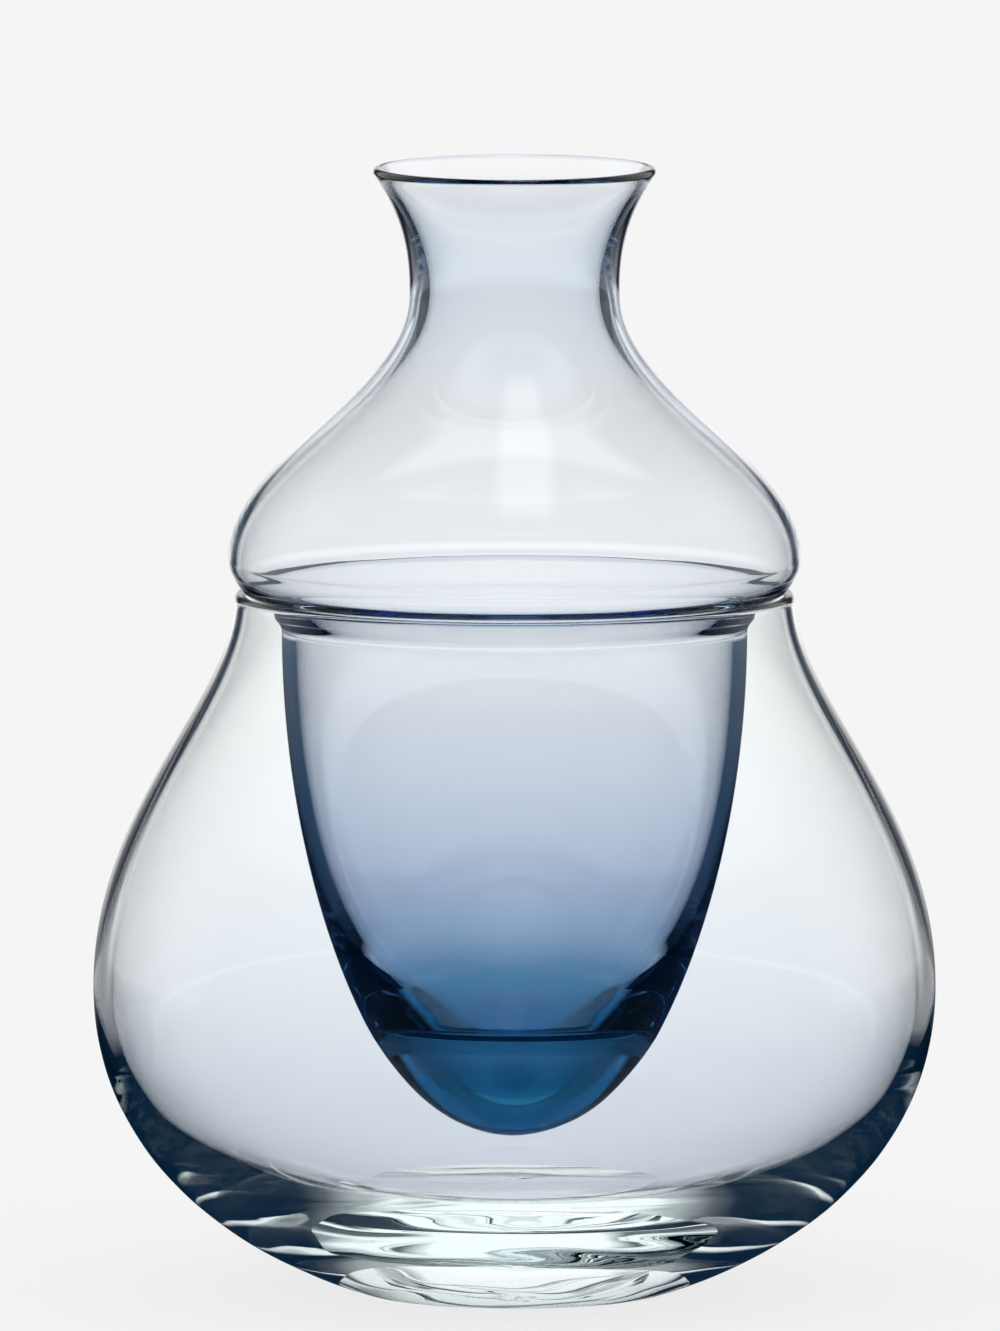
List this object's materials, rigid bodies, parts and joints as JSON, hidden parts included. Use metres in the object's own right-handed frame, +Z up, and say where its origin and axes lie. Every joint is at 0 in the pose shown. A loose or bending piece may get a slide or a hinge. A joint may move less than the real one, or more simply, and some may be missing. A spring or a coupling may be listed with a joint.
{
  "type": "sake set",
  "caption": "Glass sake set for chilled serving: a blue carafe with a flared lip and a bullet-shaped cup hangs by its shoulder in a clear gourd-shaped ice bowl.",
  "frame": {"origin": "centre of the bowl's flat foot, on the surface that the set stands on", "axes": "+Z up along the axis of both pieces; the pieces are turned, so X and Y are alike"},
  "size_m": [0.1422, 0.1422, 0.1901],
  "materials": {
    "clear_glass": "fire-polished blown glass, clear",
    "blue_glass": "fire-polished blown glass, blue, deeper where the wall is thick"
  },
  "bodies": {
    "bowl": {"ice_bowl": "clear_glass"},
    "decanter": {"carafe": "blue_glass"}
  },
  "joints": [
    {"name": "carafe_lift", "type": "slide", "parent": "bowl", "child": "decanter", "axis": [0, 0, 1], "range_m": [0, 0.1]}
  ]
}
